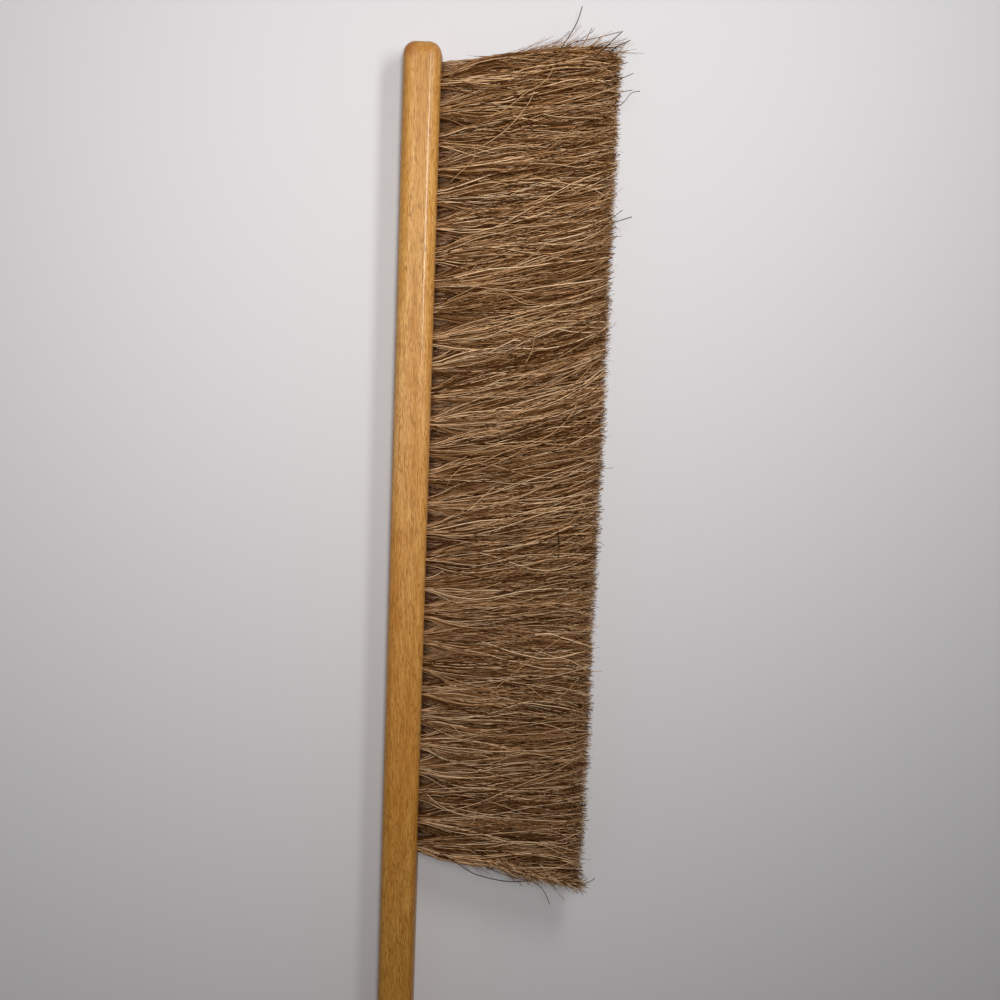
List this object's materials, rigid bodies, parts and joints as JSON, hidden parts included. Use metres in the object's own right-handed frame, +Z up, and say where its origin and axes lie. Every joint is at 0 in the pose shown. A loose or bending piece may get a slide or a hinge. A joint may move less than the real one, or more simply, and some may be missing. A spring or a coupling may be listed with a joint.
{
  "type": "snow brush",
  "caption": "Long-handled brush for sweeping off snow: a rounded beech stick with staggered rows of horsehair tufts along one edge.",
  "frame": {"origin": "middle of the stick's lower side face, on the surface that the brush lies on", "axes": "+Y along the stick towards the head end that carries the hair, +X the way the hair points, +Z up, across the stick's width"},
  "size_m": [0.1085, 0.7654, 0.0343],
  "materials": {
    "lacquered_beech": "clear satin lacquer over steamed beech, with the grain's short dark flecks along the stick",
    "horsehair": "natural brown horsehair, mixed light and dark strands, dull sheen"
  },
  "bodies": {
    "root": {"handle_stick": "lacquered_beech", "tuft_lower_01": "horsehair", "tuft_lower_02": "horsehair", "tuft_lower_03": "horsehair", "tuft_lower_04": "horsehair", "tuft_lower_05": "horsehair", "tuft_lower_06": "horsehair", "tuft_lower_07": "horsehair", "tuft_lower_08": "horsehair", "tuft_lower_09": "horsehair", "tuft_lower_10": "horsehair", "tuft_lower_11": "horsehair", "tuft_lower_12": "horsehair", "tuft_lower_13": "horsehair", "tuft_lower_14": "horsehair", "tuft_lower_15": "horsehair", "tuft_lower_16": "horsehair", "tuft_lower_17": "horsehair", "tuft_lower_18": "horsehair", "tuft_lower_19": "horsehair", "tuft_lower_20": "horsehair", "tuft_lower_21": "horsehair", "tuft_lower_22": "horsehair", "tuft_lower_23": "horsehair", "tuft_lower_24": "horsehair", "tuft_lower_25": "horsehair", "tuft_lower_26": "horsehair", "tuft_lower_27": "horsehair", "tuft_lower_28": "horsehair", "tuft_lower_29": "horsehair", "tuft_upper_01": "horsehair", "tuft_upper_02": "horsehair", "tuft_upper_03": "horsehair", "tuft_upper_04": "horsehair", "tuft_upper_05": "horsehair", "tuft_upper_06": "horsehair", "tuft_upper_07": "horsehair", "tuft_upper_08": "horsehair", "tuft_upper_09": "horsehair", "tuft_upper_10": "horsehair", "tuft_upper_11": "horsehair", "tuft_upper_12": "horsehair", "tuft_upper_13": "horsehair", "tuft_upper_14": "horsehair", "tuft_upper_15": "horsehair", "tuft_upper_16": "horsehair", "tuft_upper_17": "horsehair", "tuft_upper_18": "horsehair", "tuft_upper_19": "horsehair", "tuft_upper_20": "horsehair", "tuft_upper_21": "horsehair", "tuft_upper_22": "horsehair", "tuft_upper_23": "horsehair", "tuft_upper_24": "horsehair", "tuft_upper_25": "horsehair", "tuft_upper_26": "horsehair", "tuft_upper_27": "horsehair", "tuft_upper_28": "horsehair", "tuft_upper_29": "horsehair"}
  },
  "joints": []
}
